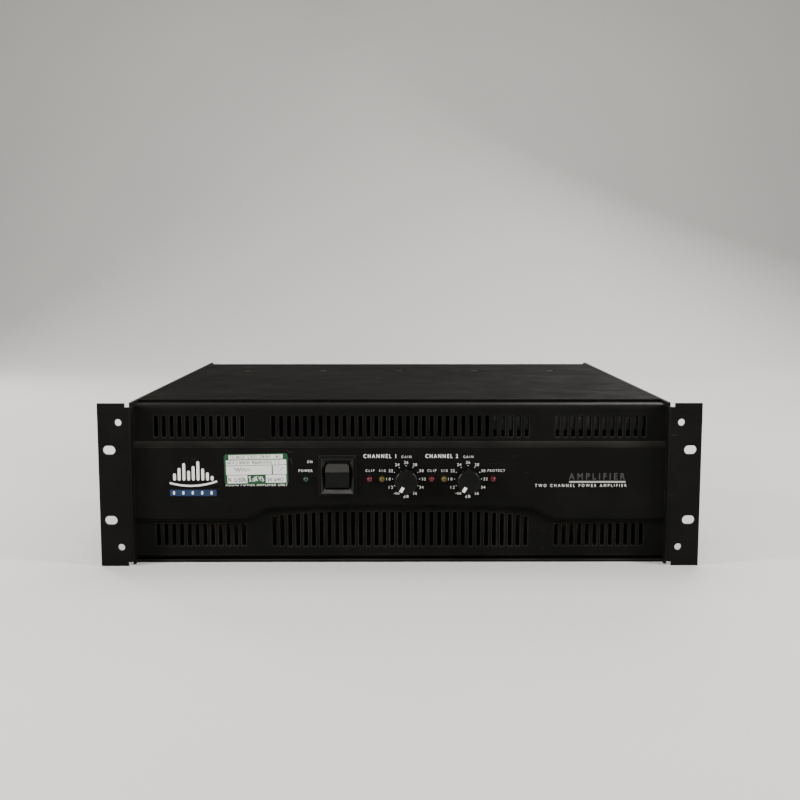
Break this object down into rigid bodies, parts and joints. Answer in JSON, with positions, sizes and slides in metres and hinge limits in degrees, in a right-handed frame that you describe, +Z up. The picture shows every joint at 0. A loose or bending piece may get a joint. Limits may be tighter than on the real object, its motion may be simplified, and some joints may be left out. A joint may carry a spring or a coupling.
{
  "type": "power amplifier",
  "caption": "Rack-mounting two-channel audio power amplifier with slotted black front, rocker power switch, gain knobs, lamps, rear fan and connectors.",
  "frame": {"origin": "centre of the four rack slots, on the rear (mounting) faces of the two rack ears", "axes": "+X along the front towards its right-hand end seen from the front, +Y from front to rear, +Z up"},
  "size_m": [0.4826, 0.411, 0.1324],
  "materials": {
    "chassis_steel": "satin black powder coat, worn",
    "fascia_plastic": "satin black, dusty",
    "screw_black": "black zinc",
    "screw_steel": "zinc plated",
    "switch_plastic": "satin black",
    "knob_plastic": "satin black",
    "pointer_white": "off-white",
    "lamp_green": "tinted clear",
    "lamp_red": "tinted clear",
    "lamp_yellow": "tinted clear",
    "board_green": "solder-resist satin",
    "steel_plain": "zinc plated",
    "shaft_aluminium": "turned",
    "transformer_core": "varnished tape over copper windings",
    "pad_rubber": "matte",
    "capacitor_sleeve": "shrink sleeve",
    "sink_aluminium": "extruded, black anodised",
    "package_black": "moulded epoxy",
    "fan_plastic": "satin black",
    "guard_chrome": "bright plated wire",
    "connector_black": "moulded",
    "latch_steel": "plated",
    "speaker_black": "moulded",
    "post_brass": "gold plated",
    "cap_red": "moulded",
    "cap_black": "moulded",
    "button_white": "moulded",
    "wire_black": "sheathed",
    "ribbon_grey": "flat cable"
  },
  "bodies": {
    "chassis": {"base_plate": "chassis_steel", "side_panel_left": "chassis_steel", "side_panel_right": "chassis_steel", "top_cover": "chassis_steel", "top_cover_brace": "chassis_steel", "rear_panel": "chassis_steel", "front_fascia": "fascia_plastic", "front_subpanel": "chassis_steel", "top_cover_screws": "screw_black", "side_panel_screws": "screw_black", "rear_panel_screws": "screw_black", "fascia_screws": "screw_steel", "power_switch_body": "switch_plastic", "power_lamp": "lamp_green", "protect_lamp": "lamp_red", "clip_lamps": "lamp_red", "signal_lamps": "lamp_yellow", "control_board": "board_green", "gain_pots": "steel_plain", "gain_pot_nuts": "screw_steel", "mains_transformers": "transformer_core", "transformer_pads": "pad_rubber", "transformer_clamps": "steel_plain", "transformer_bolts": "screw_steel", "reservoir_capacitors": "capacitor_sleeve", "supply_boards": "board_green", "heatsink_1": "sink_aluminium", "heatsink_2": "sink_aluminium", "amplifier_boards": "board_green", "output_transistors": "package_black", "fan_frame": "fan_plastic", "fan_guard": "guard_chrome", "input_sockets": "connector_black", "jack_sockets": "connector_black", "jack_nuts": "screw_steel", "speaker_sockets": "speaker_black", "socket_screws": "screw_steel", "binding_posts": "post_brass", "mains_inlet": "connector_black", "breaker_body": "connector_black", "mode_switch_body": "steel_plain", "input_board": "board_green", "wiring_looms": "wire_black", "control_ribbon": "ribbon_grey"},
    "rocker": {"power_rocker": "switch_plastic"},
    "knob_1": {"gain_knob_1": "knob_plastic", "gain_shaft_1": "shaft_aluminium", "gain_pointer_1": "pointer_white"},
    "knob_2": {"gain_knob_2": "knob_plastic", "gain_shaft_2": "shaft_aluminium", "gain_pointer_2": "pointer_white"},
    "fan": {"fan_rotor": "fan_plastic"},
    "latch_1": {"input_latch_1": "latch_steel"},
    "latch_2": {"input_latch_2": "latch_steel"},
    "cap_1": {"binding_cap_1": "cap_red"},
    "cap_2": {"binding_cap_2": "cap_black"},
    "cap_3": {"binding_cap_3": "cap_red"},
    "cap_4": {"binding_cap_4": "cap_black"},
    "reset_button": {"breaker_button": "button_white"},
    "mode_slider": {"mode_slider": "button_white"}
  },
  "joints": [
    {"name": "power_rocker_tilt", "type": "hinge", "parent": "chassis", "child": "rocker", "pos_m": [-0.0506, 0.0137, 0.0063], "axis": [-1, 0, 0], "range_deg": [0, 24]},
    {"name": "gain_1_turn", "type": "hinge", "parent": "chassis", "child": "knob_1", "pos_m": [0.0049, 0.005, 0.0037], "axis": [0, 1, 0], "range_deg": [0, 300]},
    {"name": "gain_2_turn", "type": "hinge", "parent": "chassis", "child": "knob_2", "pos_m": [0.0549, 0.005, 0.0037], "axis": [0, 1, 0], "range_deg": [0, 300]},
    {"name": "fan_spin", "type": "hinge", "parent": "chassis", "child": "fan", "pos_m": [0, 0.357, 0], "axis": [0, 1, 0], "continuous": true},
    {"name": "latch_1_press", "type": "slide", "parent": "chassis", "child": "latch_1", "axis": [0, -1, 0], "range_m": [0, 0.002], "stiffness_N_per_m": 500},
    {"name": "latch_2_press", "type": "slide", "parent": "chassis", "child": "latch_2", "axis": [0, -1, 0], "range_m": [0, 0.002], "stiffness_N_per_m": 500},
    {"name": "cap_1_turn", "type": "hinge", "parent": "chassis", "child": "cap_1", "pos_m": [-0.128, 0.387, 0.028], "axis": [0, 1, 0], "range_deg": [0, 720]},
    {"name": "cap_2_turn", "type": "hinge", "parent": "chassis", "child": "cap_2", "pos_m": [-0.147, 0.387, 0.028], "axis": [0, 1, 0], "range_deg": [0, 720]},
    {"name": "cap_3_turn", "type": "hinge", "parent": "chassis", "child": "cap_3", "pos_m": [-0.128, 0.387, -0.028], "axis": [0, 1, 0], "range_deg": [0, 720]},
    {"name": "cap_4_turn", "type": "hinge", "parent": "chassis", "child": "cap_4", "pos_m": [-0.147, 0.387, -0.028], "axis": [0, 1, 0], "range_deg": [0, 720]},
    {"name": "reset_button_slide", "type": "slide", "parent": "chassis", "child": "reset_button", "axis": [0, 1, 0], "range_m": [0, 0.004]},
    {"name": "mode_slide", "type": "slide", "parent": "chassis", "child": "mode_slider", "axis": [1, 0, 0], "range_m": [0, 0.005]}
  ]
}
